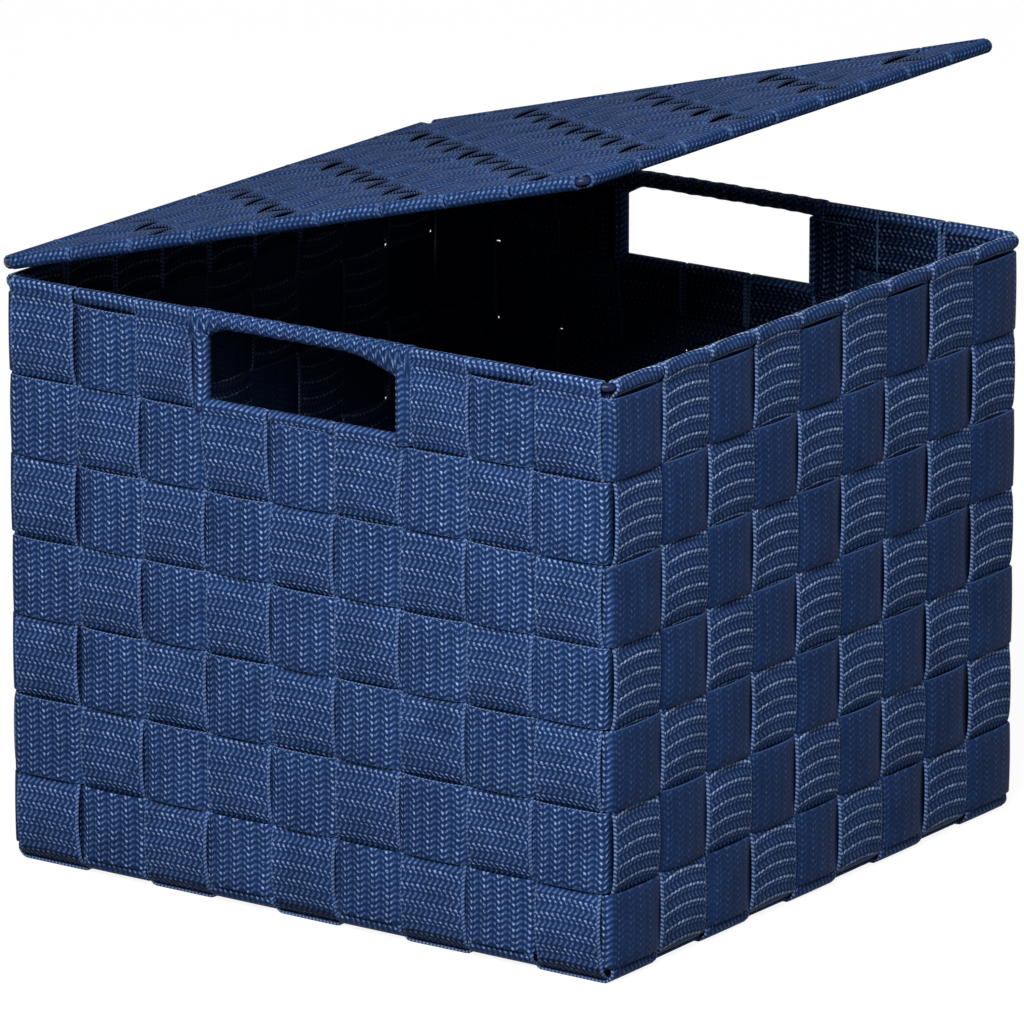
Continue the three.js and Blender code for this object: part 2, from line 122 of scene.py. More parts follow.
rim_low, rim_high = box_mm("rim_wire")
base_low, base_high = box_mm("base_wire")
WIRE_RADIUS = (rim_high[2] - rim_low[2]) / 2
RIM_Z = (rim_high[2] + rim_low[2]) / 2
WALL = rim_high[0] - WIRE_RADIUS
BASE_Z = (base_high[2] + base_low[2]) / 2
BASE_SIDE = base_high[0] - WIRE_RADIUS
BOTTOM_Z = FLAT_LAYER + THICKNESS / 2
slot_low, slot_high = box_mm("slot_wire_front")
SLOT_WIRE_RADIUS = (slot_high[1] - slot_low[1]) / 2
SLOT_Z = slot_low[2] + SLOT_WIRE_RADIUS

hoop_low, hoop_high = {}, {}
for row in range(2, HOOPS + 1):
    hoop_low[row], hoop_high[row] = (corner[2] for corner in box_mm(f"hoop_{row}"))
hoop_low[1], hoop_high[1] = (corner[2] for corner in box_mm("hoop_1_right"))
gap_under = {row: (hoop_low[row] + hoop_high[row + 1]) / 2 for row in range(1, HOOPS)}
HOOP_PITCH = gap_under[1] - gap_under[2]
gap_under[HOOPS] = gap_under[HOOPS - 1] - HOOP_PITCH

strap_x = {}
for strap in range(1, STRAPS + 1):
    low, high = box_mm(f"front_back_strap_{strap}")
    strap_x[strap] = (low[0] + high[0]) / 2
STRAP_WIDTH = high[0] - low[0] + SPREAD_OUT
STRAP_PITCH = strap_x[1] - strap_x[2]


def spread_out(place):
    """The straps crowd a little toward the corners, most of all the outer ones."""
    return place * (1 + EDGE_SHIFT / strap_x[1] * (place / strap_x[1]) ** 2)


def front_layer(strap, row):
    """1 where a front-to-back strap lies outside a hoop, -1 where inside."""
    return 1 if (strap + row) % 2 == 0 else -1


def side_layer(strap, row):
    """1 where a side-to-side strap lies outside a hoop, -1 where inside."""
    return 1 if (strap + row) % 2 == 1 else -1


def fold_round(radius, slope, layer, hem):
    """Corners of a strap's end folded round a wire, as [distance from the wire, distance
    out of the panel, crown], from the hem inside to the strap's own layer."""
    turn = (math.pi + slope) / FOLD_TURNS
    reach = radius / math.cos(turn / 2)
    # The hem's crown is down, so the material paints it darker as shade inside the rim.
    points = [[hem, -radius, -CAMBER], [HEM_TOP, -radius, -CAMBER]]
    for k in range(FOLD_TURNS):
        angle = turn * (k + 0.5)
        points.append([-reach * math.sin(angle), -reach * math.cos(angle), 0])
    landing = (radius - layer * math.cos(slope)) / math.sin(slope)
    points.append([landing, layer, 0])
    return points


def weave_cell(start, end, side, bulge=BULGE_OUT, rise=CROSSING_RUN, dive=CROSSING_RUN):
    """Corners of a strap between two crossings: it lies one layer to a side and arches. Its
    crown is up where it lies outside, and down all along where it lies inside."""
    if side < 0:
        bulge, rise, dive = BULGE_IN, 2 * CROSSING_RUN - dive, 2 * CROSSING_RUN - rise
    points = []
    for k in range(CELL_STEPS + 1):
        t = k / CELL_STEPS
        arch = 1 - (2 * t - 1) ** 2
        points.append([
            start + rise + t * (end - start - rise - dive),
            side * (LAYER + bulge * arch),
            CAMBER * min(1, CAMBER_RISE * arch) if side > 0 else -CAMBER,
        ])
    return points


def bend_corners(first, second, cut):
    """A right-angled corner at (first, second) with its tip cut off."""
    return [[first, second - cut], [first - cut, second]]


def smooth_path(corners, closed=False):
    """A soft path through the corners with faces no longer than LONGEST_FACE, closer
    together where it bends."""
    corners = np.array(corners, dtype=float)
    if closed:
        corners = np.vstack([corners, corners[:1]])
    legs = np.linalg.norm(np.diff(corners[:, :2], axis=0), axis=1)
    along = np.concatenate([[0], np.cumsum(legs)])
    count = int(along[-1] / PATH_STEP)
    even = np.linspace(0, along[-1], count, endpoint=not closed)
    dense = np.stack([np.interp(even, along, corners[:, k]) for k in range(3)], axis=1)
    reach = int(SOFTENED_OVER * PATH_SOFTNESS / PATH_STEP)
    offsets = np.arange(-reach, reach + 1) * PATH_STEP
    kernel = np.exp(-0.5 * (offsets / PATH_SOFTNESS) ** 2)
    kernel /= kernel.sum()
    if closed:
        padded = np.vstack([dense[-reach:], dense, dense[:reach]])
    else:
        before = 2 * dense[0] - dense[reach:0:-1]
        after = 2 * dense[-1] - dense[-2:-reach - 2:-1]
        padded = np.vstack([before, dense, after])
    soft = np.stack([np.convolve(padded[:, k], kernel, "valid") for k in range(3)], axis=1)
    if closed:
        soft = np.vstack([soft, soft[:1]])
    step = np.linalg.norm(np.diff(soft[:, :2], axis=0), axis=1)
    along = np.concatenate([[0], np.cumsum(step)])
    heading = np.unwrap(np.arctan2(np.diff(soft[:, 1]), np.diff(soft[:, 0])))
    bend = np.abs(np.gradient(heading)) / step
    density = 1 / LONGEST_FACE + BEND_DETAIL * bend
    progress = np.concatenate([[0], np.cumsum(density * step)])
    faces = int(math.ceil(progress[-1]))
    stops = np.interp(np.linspace(0, progress[-1], faces + 1), progress, along)
    path = np.stack([np.interp(stops, along, soft[:, k]) for k in range(3)], axis=1)
    return path, stops


def strap_section(width):
    """Outline of a strap cut across, as [across, out], clockwise seen along the strap."""
    r = THICKNESS / 2
    flat = width / 2 - r
    top = [(flat * t, r) for t in np.linspace(-1, 1, TOP_POINTS)]
    right = [(flat + r * math.sin(a), r * math.cos(a)) for a in EDGE_TURNS]
    bottom = [(flat * t, -r) for t in np.linspace(1, -1, UNDER_POINTS)]
    left = [(-flat - r * math.sin(a), -r * math.cos(a)) for a in EDGE_TURNS]
    return np.array(top + right + bottom + left)


def skin(name, rings, along, across, closed, lie=None):
    """A mesh object through rings of points in millimetres, with a UV map that holds the
    distances along and across in millimetres, and another for how each ring lies."""
    count, sides = rings.shape[:2]
    laps = count if closed else count - 1
    i = np.arange(laps)[:, None]
    j = np.arange(sides)[None, :]
    after_i = (i + 1) % count
    after_j = (j + 1) % sides
    quads = np.stack(np.broadcast_arrays(
        i * sides + j, i * sides + after_j, after_i * sides + after_j, after_i * sides + j,
    ), axis=-1).reshape(-1, 4)
    faces = quads.tolist()
    if not closed:
        faces.append(list(range(sides - 1, -1, -1)))
        faces.append(list(range((count - 1) * sides, count * sides)))
    mesh = bpy.data.meshes.new(name)
    mesh.from_pydata((rings.reshape(-1, 3) * MM).tolist(), [], faces)
    along_face = np.stack([along[:-1], along[:-1], along[1:], along[1:]], axis=1)[:, None, :]
    along_face = np.broadcast_to(along_face, (laps, sides, 4))
    across = np.broadcast_to(across, (count, sides))
    across_after = np.roll(across, -1, axis=1)
    next_ring = np.roll(across, -1, axis=0)
    next_after = np.roll(across_after, -1, axis=0)
    across_face = np.stack([across, across_after, next_after, next_ring], axis=2)[:laps]
    uv = np.stack([along_face, across_face], axis=-1).reshape(-1, 2)
    if not closed:
        for end, around in ((0, range(sides - 1, -1, -1)), (-1, range(sides))):
            uv = np.vstack([uv, [[along[end], across[end, k]] for k in around]])
    layer = mesh.uv_layers.new(name="strap")
    layer.data.foreach_set("uv", uv.astype(np.float32).ravel())
    if lie is not None:
        ring_of_corner = np.array([loop.vertex_index for loop in mesh.loops]) // sides
        layer = mesh.uv_layers.new(name="lie")
        layer.data.foreach_set("uv", lie[ring_of_corner].astype(np.float32).ravel())
    mesh.shade_smooth()
    piece = bpy.data.objects.new(name, mesh)
    bpy.context.scene.collection.objects.link(piece)
    return piece


def strap_piece(name, material, corners, plane, width, body, seed,
                closed=False, outside=1, way=1, press_and_shade=None, lean=None):
    """One webbing strap along corners drawn in a plane (origin, first axis, second axis).
    outside is 1 where the strap's outer face lies right of its path, -1 where left. way is
    1 where its ribs were woven along the path, -1 where against it. press_and_shade tells
    how flat its ribs lie and how far its floats and highlight dots give way to painted
    shade. lean tells how far the strap is pushed out of its plane and how much of its width
    it keeps. The inner face is marked in the map for the material, which paints it darker
    as shade."""
    path, stops = smooth_path(corners, closed)
    if closed:
        whole = round(stops[-1] / RIB_PERIOD) * RIB_PERIOD
        stops = stops * whole / stops[-1]
        path = path[:-1]
        tangent = np.roll(path, -1, axis=0)[:, :2] - np.roll(path, 1, axis=0)[:, :2]
    else:
        tangent = np.gradient(path[:, :2], axis=0)
    tangent /= np.linalg.norm(tangent, axis=1)[:, None]
    normal = outside * np.stack([tangent[:, 1], -tangent[:, 0]], axis=1)
    origin, first, second = (np.array(v, dtype=float) for v in plane)
    push, keep = (0, 1) if lean is None else lean(path)
    centre = origin + path[:, :1] * first + path[:, 1:2] * second
    centre = centre + push * np.cross(first, second)
    out = normal[:, :1] * first + normal[:, 1:] * second
    ahead = tangent[:, :1] * first + tangent[:, 1:] * second
    beside = np.cross(ahead, out)
    section = strap_section(width)
    across = np.broadcast_to(section[:, 0], (len(path), len(section))).copy()
    height = section[:, 1] + path[:, 2:3] * (1 - (across / (width / 2)) ** 2)
    random = np.random.default_rng(seed)
    place = stops[:len(path), None]
    turns = 2 * math.pi / stops[-1] * random.integers(*WANDER_TURNS, WANDER_WAVES)
    drift = sum(WANDER / 2 * np.sin(turn * place + random.uniform(*WANDER_START)) for turn in turns)
    rings = (centre[:, None, :] + (keep * across + drift)[:, :, None] * beside[:, None, :]
             + height[:, :, None] * out[:, None, :])
    pressed_and_shaded = np.zeros(len(path)) if press_and_shade is None else press_and_shade(path)
    # How far the crown is down, from which the material paints shade in crevices.
    sunk = np.clip(-path[:, 2] / CAMBER, -1, 1)
    across += INNER_MARK * (section[:, 1] < UNDERSIDE * THICKNESS)
    piece = skin(name, rings, way * stops, across, closed, np.stack([pressed_and_shaded, sunk], axis=1))
    piece.data.materials.append(material)
    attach(piece, body)
    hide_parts(name.removesuffix("_webbing"))


# Their webbing is polypropylene yarn woven into zigzag ribs that run along the strap, with
# a smooth selvedge along each edge. Where a yarn turns over it catches the light as a dot,
# which is painted into the colour as a highlight. The grooves between the floats are painted
# darker as shade. Webbing is also painted darker as shade where it dips under another strap,
# and on its inner face.
RIB_PERIOD = 6.76
RIB_PITCH = 2.57
RIB_SWAY = 1.73
RIB_ROUND = (1.15, 0.2)
SWAY_CURVE = [(0.0, 0.0), (0.1, 0.05), (0.27, 0.33), (0.42, 0.85), (0.52, 1.0), (0.64, 0.97),
              (0.75, 0.84), (0.88, 0.4), (1.0, 0.0)]
FLOAT_CURVE = [(0.0, 0.5), (0.12, 0.1), (0.25, 0.6), (0.36, 0.9), (0.46, 0.6), (0.54, 0.25),
               (0.65, 0.15), (0.75, 0.6), (0.87, 0.1), (1.0, 0.5)]
ROW_TURN = (0.0, 0.95)
RISING_TURN = (0.27, 0.8)
APEX_TURN = (0.51, 0.75)
FALLING_TURN = (0.75, 0.8)
TURN_SOFTNESS = 0.25
ROW_ARCH = 0.75
PERIODS_AHEAD = 200.0
RIBS_ASIDE = 20.0
SELVEDGE = 1.3
SELVEDGE_BLEND = 0.3
SELVEDGE_PITCH = 1.7
SELVEDGE_SLANT = 2.5
BEAD_RANGE = (-0.6, 0.8)
TURN_RELIEF = 0.45
FLOAT_RELIEF = 0.55
SELVEDGE_RELIEF = 0.5
BEAD_RELIEF = 0.15
NOISE_DETAIL = 2
PATCH_SCALE = 60
CLUMP_SCALE = 380
FIBRE_SCALE = 1400
FIBRE_RELIEF = 0.12
WEBBING_RELIEF = 0.0004
WEBBING_ROUGHNESS = 0.45
# Painted shade in crevices, where a strap dips under another or into its hem.
CREVICE_SHADE_SPAN = 0.45
CREVICE_SHADE_SHARE = 0.85
CREVICE_SHADE_ON_DOTS = 0.6
FIBRE_HIGHLIGHT_RANGE = (0.3, 0.6)
CLUMP_HIGHLIGHT_RANGE = (0.35, 0.6)
CLUMP_SHARE = 0.5
LEAST_HIGHLIGHT = 0.55
PATCH_TONE = 0.7
FIBRE_TONE = 0.4
LEAST_TONE = 0.45
SHEEN_TINT = (0.30, 0.52, 1.0, 1)
SHEEN_STRETCH = 0.85
SHEEN_TURN = 0.25
# The colour between the floats, painted dark as shade in the grooves.
GROUND_AND_GROOVE_SHADE_COLOUR = (0.0075, 0.023, 0.080)
FLOAT_COLOUR = (0.036, 0.078, 0.205)
# Painted highlight colour of the dots where yarns turn over.
DOT_HIGHLIGHT_COLOUR = (0.270, 0.385, 0.680)
SELVEDGE_COLOUR = (0.020, 0.048, 0.135)
# Painted shade colour for the hoops on the side walls, where light runs along their yarns.
PRESSED_SHADE_COLOUR = (0.0105, 0.0275, 0.090)
# Colour of the painted shade in crevices.
CREVICE_SHADE_COLOUR = (0.0010, 0.0028, 0.010)
# Painted shade on the straps' inner faces, inside the basket.
INNER_SHADE_COLOUR = (0.0035, 0.0080, 0.022)
INNER_SHADE_SHARE = 0.65


def new_group(name, inputs, outputs):
    """A node group of numbers, with its input and output nodes."""
    tree = bpy.data.node_groups.new(name, "ShaderNodeTree")
    for in_out, labels in (("INPUT", inputs), ("OUTPUT", outputs)):
        for label in labels:
            tree.interface.new_socket(label, in_out=in_out, socket_type="NodeSocketFloat")
    return tree, tree.nodes.new("NodeGroupInput"), tree.nodes.new("NodeGroupOutput")


def plug(tree, value, socket):
    if isinstance(value, bpy.types.NodeSocket):
        tree.links.new(value, socket)
    else:
        socket.default_value = value


def maths(tree, operation, *values):
    node = tree.nodes.new("ShaderNodeMath")
    node.operation = operation
    for value, socket in zip(values, node.inputs):
        plug(tree, value, socket)
    return node.outputs[0]


def ramp_between(tree, value, low, high):
    """A soft step from 0 at low to 1 at high."""
    node = tree.nodes.new("ShaderNodeMapRange")
    node.interpolation_type = "SMOOTHSTEP"
    plug(tree, value, node.inputs["Value"])
    node.inputs["From Min"].default_value = low
    node.inputs["From Max"].default_value = high
    return node.outputs["Result"]


def curve_of(tree, value, points):
    """A value read off a curve through points."""
    node = tree.nodes.new("ShaderNodeFloatCurve")
    tree.links.new(value, node.inputs["Value"])
    curve = node.mapping.curves[0]
    while len(curve.points) < len(points):
        curve.points.new(0.5, 0.5)
    for point, place in zip(curve.points, points):
        point.location = place
    node.mapping.update()
    return node.outputs["Value"]


weave, given, made = new_group(
    "webbing ribs",
    ["Along", "Across", "Half width", "Pressed and shaded", "Rising turns", "Falling turns", "Apex turns", "Row reach",
     "Row arch"],
    ["Height", "Highlight dots", "Floats", "Selvedge", "Edge beads"],
)
across = given.outputs["Across"]
half_width = given.outputs["Half width"]
share = maths(weave, "DIVIDE", across, half_width)
bow = maths(weave, "MULTIPLY", maths(weave, "MULTIPLY", share, share), given.outputs["Row arch"])
run = maths(weave, "DIVIDE", maths(weave, "ADD", given.outputs["Along"], bow), RIB_PERIOD)
phase = maths(weave, "FRACT", maths(weave, "ADD", run, PERIODS_AHEAD))
sway = curve_of(weave, phase, SWAY_CURVE)
swayed = maths(weave, "ADD", across, maths(weave, "MULTIPLY", sway, RIB_SWAY))
rib = maths(weave, "FRACT", maths(weave, "ADD", maths(weave, "DIVIDE", swayed, RIB_PITCH), RIBS_ASIDE))
off_rib = maths(weave, "MULTIPLY", maths(weave, "SUBTRACT", rib, 0.5), RIB_PITCH)


def yarn_dot(place, size, reach=1.0):
    """Where a yarn turns over on a rib, at a share of the period: 1 in its middle."""
    ahead = maths(weave, "WRAP", maths(weave, "SUBTRACT", phase, place), 0.5, -0.5)
    ahead = maths(weave, "MULTIPLY", ahead, RIB_PERIOD)
    aside = maths(weave, "DIVIDE", off_rib, reach)
    apart = maths(weave, "SQRT", maths(weave, "ADD", maths(weave, "MULTIPLY", ahead, ahead),
                                       maths(weave, "MULTIPLY", aside, aside)))
    return ramp_between(weave, apart, size, TURN_SOFTNESS * size)


from_edge = maths(weave, "SUBTRACT", half_width, maths(weave, "ABSOLUTE", across))
inner = ramp_between(weave, from_edge, SELVEDGE - SELVEDGE_BLEND, SELVEDGE)
at_edge = maths(weave, "SUBTRACT", 1.0, inner)
turns = yarn_dot(*ROW_TURN, given.outputs["Row reach"])
for label, turn in (("Rising turns", RISING_TURN), ("Falling turns", FALLING_TURN),
                    ("Apex turns", APEX_TURN)):
    turns = maths(weave, "MAXIMUM", turns, maths(weave, "MULTIPLY", yarn_dot(*turn), given.outputs[label]))
float_run = curve_of(weave, phase, FLOAT_CURVE)
rib_round = ramp_between(weave, maths(weave, "ABSOLUTE", off_rib), *RIB_ROUND)
floats = maths(weave, "MULTIPLY", rib_round, float_run)
edge_lay = maths(weave, "ADD", maths(weave, "MULTIPLY", given.outputs["Along"], 2 * math.pi / SELVEDGE_PITCH),
                 maths(weave, "MULTIPLY", across, SELVEDGE_SLANT))
edge_beads = ramp_between(weave, maths(weave, "SINE", edge_lay), *BEAD_RANGE)
yarn_height = maths(weave, "ADD", maths(weave, "MULTIPLY", turns, TURN_RELIEF),
                    maths(weave, "MULTIPLY", floats, FLOAT_RELIEF))
edge_height = maths(weave, "ADD", maths(weave, "MULTIPLY", edge_beads, BEAD_RELIEF), SELVEDGE_RELIEF)
height = maths(weave, "ADD", maths(weave, "MULTIPLY", yarn_height, inner),
               maths(weave, "MULTIPLY", edge_height, at_edge))
# Where flattened, the relief sinks and the painted highlight dots and floats fade, as painted shade.
raised = maths(weave, "SUBTRACT", 1.0, given.outputs["Pressed and shaded"])
for label, value in (("Height", height), ("Highlight dots", maths(weave, "MULTIPLY", turns, inner)),
                     ("Floats", maths(weave, "MULTIPLY", floats, inner)),
                     ("Edge beads", maths(weave, "MULTIPLY", edge_beads, at_edge))):
    weave.links.new(maths(weave, "MULTIPLY", value, raised), made.inputs[label])
weave.links.new(at_edge, made.inputs["Selvedge"])


def mix_colour(tree, factor, first, second, blend="MIX"):
    node = tree.nodes.new("ShaderNodeMix")
    node.data_type = "RGBA"
    node.blend_type = blend
    plug(tree, factor, node.inputs["Factor"])
    plug(tree, first if isinstance(first, bpy.types.NodeSocket) else (*first, 1), node.inputs["A"])
    plug(tree, second if isinstance(second, bpy.types.NodeSocket) else (*second, 1), node.inputs["B"])
    return node.outputs["Result"]


def new_material(name, roughness):
    material = bpy.data.materials.new(name)
    material.use_nodes = True
    tree = material.node_tree
    shader = tree.nodes["Principled BSDF"]
    shader.inputs["Roughness"].default_value = roughness
    return material, tree, shader


def raise_surface(tree, shader, height, distance):
    """Relief in the finish, from a height between 0 and 1."""
    bump = tree.nodes.new("ShaderNodeBump")
    bump.inputs["Distance"].default_value = distance
    tree.links.new(height, bump.inputs["Height"])
    tree.links.new(bump.outputs["Normal"], shader.inputs["Normal"])


def webbing_material(name, width, turns, specular, row_reach=1.0, row_arch=ROW_ARCH, dot_highlight_colour=DOT_HIGHLIGHT_COLOUR,
                     selvedge_and_shade_colour=SELVEDGE_COLOUR, bead_highlight_share=0.35, crevice_shade_start=0.4):
    """Navy webbing. Its small turns, (rising, falling, at the apex), show more or less, and
    the large ones reach further across, as the strap was pulled. The turns are painted into
    the colour as highlight dots, and crevices, the inner face and the flattened side walls
    are painted darker as shade."""
    material, tree, shader = new_material(name, WEBBING_ROUGHNESS)
    strap_map = tree.nodes.new("ShaderNodeUVMap")
    strap_map.uv_map = "strap"
    spread = tree.nodes.new("ShaderNodeSeparateXYZ")
    tree.links.new(strap_map.outputs["UV"], spread.inputs["Vector"])
    ribs = tree.nodes.new("ShaderNodeGroup")
    ribs.node_tree = weave
    tree.links.new(spread.outputs["X"], ribs.inputs["Along"])
    inner_face = maths(tree, "GREATER_THAN", spread.outputs["Y"], INNER_MARK / 2)
    across = maths(tree, "SUBTRACT", spread.outputs["Y"], maths(tree, "MULTIPLY", inner_face, INNER_MARK))
    tree.links.new(across, ribs.inputs["Across"])
    for label, value in (("Half width", width / 2), ("Rising turns", turns[0]), ("Falling turns", turns[1]),
                         ("Apex turns", turns[2]), ("Row reach", row_reach), ("Row arch", row_arch)):
        ribs.inputs[label].default_value = value
    lie_map = tree.nodes.new("ShaderNodeUVMap")
    lie_map.uv_map = "lie"
    lie = tree.nodes.new("ShaderNodeSeparateXYZ")
    tree.links.new(lie_map.outputs["UV"], lie.inputs["Vector"])
    tree.links.new(lie.outputs["X"], ribs.inputs["Pressed and shaded"])
    facing = maths(tree, "SUBTRACT", 1.0, maths(tree, "MULTIPLY", inner_face, 2.0))
    sunk = maths(tree, "MULTIPLY", lie.outputs["Y"], facing)
    # Painted shade: darker where the strap's crown is down, in the dips under other straps and in the hems.
    crevice_shade = ramp_between(tree, sunk, crevice_shade_start, crevice_shade_start + CREVICE_SHADE_SPAN)
    place = tree.nodes.new("ShaderNodeTexCoord")
    patches, clumps, fibres = (tree.nodes.new("ShaderNodeTexNoise") for _ in range(3))
    for noise, scale in ((patches, PATCH_SCALE), (clumps, CLUMP_SCALE), (fibres, FIBRE_SCALE)):
        noise.inputs["Scale"].default_value = scale
        noise.inputs["Detail"].default_value = NOISE_DETAIL
        tree.links.new(place.outputs["Object"], noise.inputs["Vector"])
    # Painted shade: on the side walls the hoops' floats and highlight dots give way to a darker, even colour.
    ground_and_groove_shade = mix_colour(tree, lie.outputs["X"], GROUND_AND_GROOVE_SHADE_COLOUR, PRESSED_SHADE_COLOUR)
    # Floats in the yarn's own colour over the darker painted groove shade.
    colour = mix_colour(tree, ribs.outputs["Floats"], ground_and_groove_shade, FLOAT_COLOUR)
    colour = mix_colour(tree, maths(tree, "MULTIPLY", crevice_shade, CREVICE_SHADE_SHARE), colour, CREVICE_SHADE_COLOUR)
    clumped = maths(tree, "MULTIPLY", ramp_between(tree, clumps.outputs["Fac"], *CLUMP_HIGHLIGHT_RANGE), CLUMP_SHARE)
    highlight_strength = maths(tree, "MULTIPLY", ramp_between(tree, fibres.outputs["Fac"], *FIBRE_HIGHLIGHT_RANGE),
                 maths(tree, "ADD", clumped, LEAST_HIGHLIGHT))
    unsunk = maths(tree, "SUBTRACT", 1.0, maths(tree, "MULTIPLY", crevice_shade, CREVICE_SHADE_ON_DOTS))
    highlight_strength = maths(tree, "MULTIPLY", highlight_strength, unsunk)
    # Painted highlight: where a yarn turns over, the colour is lifted to a highlight dot, broken up at random
    # and fainter in the painted shade of crevices.
    colour = mix_colour(tree, maths(tree, "MULTIPLY", ribs.outputs["Highlight dots"], highlight_strength), colour, dot_highlight_colour)
    # On the lid the selvedges away from the folds are painted dark as shade.
    edge = mix_colour(tree, maths(tree, "ABSOLUTE", lie.outputs["Y"]), SELVEDGE_COLOUR, selvedge_and_shade_colour)
    colour = mix_colour(tree, ribs.outputs["Selvedge"], colour, edge)
    # Painted highlight: the selvedge beads are lifted toward the highlight colour too.
    beads = maths(tree, "MULTIPLY", ribs.outputs["Edge beads"], bead_highlight_share)
    colour = mix_colour(tree, beads, colour, dot_highlight_colour)
    # Painted shade: the inner face is darkened toward the shade colour.
    colour = mix_colour(tree, maths(tree, "MULTIPLY", inner_face, INNER_SHADE_SHARE), colour, INNER_SHADE_COLOUR)
    tone = maths(tree, "ADD", maths(tree, "MULTIPLY", patches.outputs["Fac"], PATCH_TONE), LEAST_TONE)
    tone = maths(tree, "ADD", tone, maths(tree, "MULTIPLY", fibres.outputs["Fac"], FIBRE_TONE))
    grey = tree.nodes.new("ShaderNodeCombineColor")
    for channel in ("Red", "Green", "Blue"):
        tree.links.new(tone, grey.inputs[channel])
    colour = mix_colour(tree, 1.0, colour, grey.outputs["Color"], "MULTIPLY")
    tree.links.new(colour, shader.inputs["Base Color"])
    relief = maths(tree, "ADD", ribs.outputs["Height"],
                   maths(tree, "MULTIPLY", fibres.outputs["Fac"], FIBRE_RELIEF))
    raise_surface(tree, shader, relief, WEBBING_RELIEF)
    shader.inputs["Specular IOR Level"].default_value = specular
    shader.inputs["Specular Tint"].default_value = SHEEN_TINT
    shader.inputs["Anisotropic"].default_value = SHEEN_STRETCH
    shader.inputs["Anisotropic Rotation"].default_value = SHEEN_TURN
    yarn_way = tree.nodes.new("ShaderNodeTangent")
    yarn_way.direction_type = "UV_MAP"
    yarn_way.uv_map = "strap"
    tree.links.new(yarn_way.outputs["Tangent"], shader.inputs["Tangent"])
    return material


front_webbing = webbing_material("front strap webbing", STRAP_WIDTH, turns=(0.55, 0.8, 0.3), specular=0.03)


def wall_corners(layer_at, slotted, bottom_layer, bulge, dive, tuck):
    """Half of a vertical strap: from its hem down one wall and round the base wire, as
    [outward from the middle of the basket, up, crown]."""
    wire_z = SLOT_Z if slotted else RIM_Z
    radius = SLOT_FOLD_RADIUS if slotted else FOLD_RADIUS
    first_row = 2 if slotted else 1
    side = layer_at(first_row)
    slope = OUTER_SLOPE if side > 0 else (STEEP_SLOPE if slotted else INNER_SLOPE)
    corners = [[WALL + out, wire_z - down, crown] for down, out, crown in
               fold_round(radius, slope, side * LAYER, SLOT_HEM if slotted else RIM_HEM)]
    top = corners[-1][1] + CROSSING_RUN
    for row in range(first_row, HOOPS + 1):
        bottom = gap_under[row] + (tuck if row == HOOPS and layer_at(row) > 0 else 0)
        corners += [[WALL + out, -down, crown] for down, out, crown in
                    weave_cell(-top, -bottom, layer_at(row), bulge, CROSSING_RUN, dive)]
        top = bottom
    del corners[-1]
    at_base = BASE_LAYER if layer_at(HOOPS) < 0 or not tuck else -BASE_LAYER
    out = WALL - BASE_SIDE + at_base * LAYER
    down = BASE_Z - BOTTOM_Z + bottom_layer
    crowns = (at_base / BASE_LAYER * CAMBER, 0)
    for (a, b), crown in zip(bend_corners(out, down, BASE_BEND_CUT), crowns):
        corners.append([BASE_SIDE + a, BASE_Z - b, crown])
    return corners


def both_sides(half):
    """A path from one end of a strap to the other, from half of it."""
    return [[-a, b, c] for a, b, c in half] + half[::-1]


NEIGHBOUR_PUSH = 3.8
NEIGHBOUR_KEEP = 0.89
NEIGHBOUR_FROM = 18
NEIGHBOUR_TO = 2
SLOTTED_PUSH = 1.6
SLOTTED_KEEP = 1.06


def lean_from_slot(strap):
    """The slots' sides push the straps beside them outward, where these are squeezed, and
    the outer ones of the straps under the slots spread into the room that is left."""
    off = strap - MIDDLE_STRAP
    if abs(off) == 1:
        push, keep, low, high = SLOTTED_PUSH, SLOTTED_KEEP, gap_under[2], SLOT_Z
    elif abs(off) == 2:
        push, keep = NEIGHBOUR_PUSH, NEIGHBOUR_KEEP
        low, high = hoop_low[1] - NEIGHBOUR_FROM, hoop_low[1] - NEIGHBOUR_TO
    else:
        return None
    outward = -np.sign(off)

    def lean(path):
        t = np.clip((path[:, 1:2] - low) / (high - low), 0, 1)
        share = t * t * (3 - 2 * t)
        return outward * push * share, 1 + (keep - 1) * share

    return lean


for strap in range(1, STRAPS + 1):
    slotted = abs(strap - MIDDLE_STRAP) < 2
    half = wall_corners(lambda row: front_layer(strap, row), slotted, 0, BULGE_OUT, FRONT_DIVE, BASE_TUCK)
    strap_piece(f"front_back_strap_{strap}_webbing", front_webbing, both_sides(half),
                ((spread_out(strap_x[strap]), 0, 0), (0, 1, 0), (0, 0, 1)), STRAP_WIDTH, "basket",
                seed=strap, way=-1, lean=lean_from_slot(strap))


# Side-to-side straps. Nine more straps from the left wall under the bottom to the right
# wall. Under the bottom they cross the front-to-back straps in a plain weave. Their rows
# of yarn are pulled into arches, and their painted highlight dots are brighter.
BULGE_SIDE = 0.5
SIDE_DIVE = 2.8
BOTTOM_RUN = 1.0
SIDE_ROW_ARCH = 2.2
SIDE_ROW_REACH = 1.6
# Brighter painted highlight colour for the side straps' dots.
BRIGHT_DOT_HIGHLIGHT_COLOUR = (0.400, 0.540, 0.860)

side_webbing = webbing_material("side strap webbing", STRAP_WIDTH, turns=(0.25, 0.3, 0.1), specular=0.02,
                                row_reach=SIDE_ROW_REACH, row_arch=SIDE_ROW_ARCH,
                                dot_highlight_colour=BRIGHT_DOT_HIGHLIGHT_COLOUR)
strap_y = {}
for strap in range(1, STRAPS + 1):
    low, high = box_mm(f"side_side_strap_{strap}")
    strap_y[strap] = (low[1] + high[1]) / 2

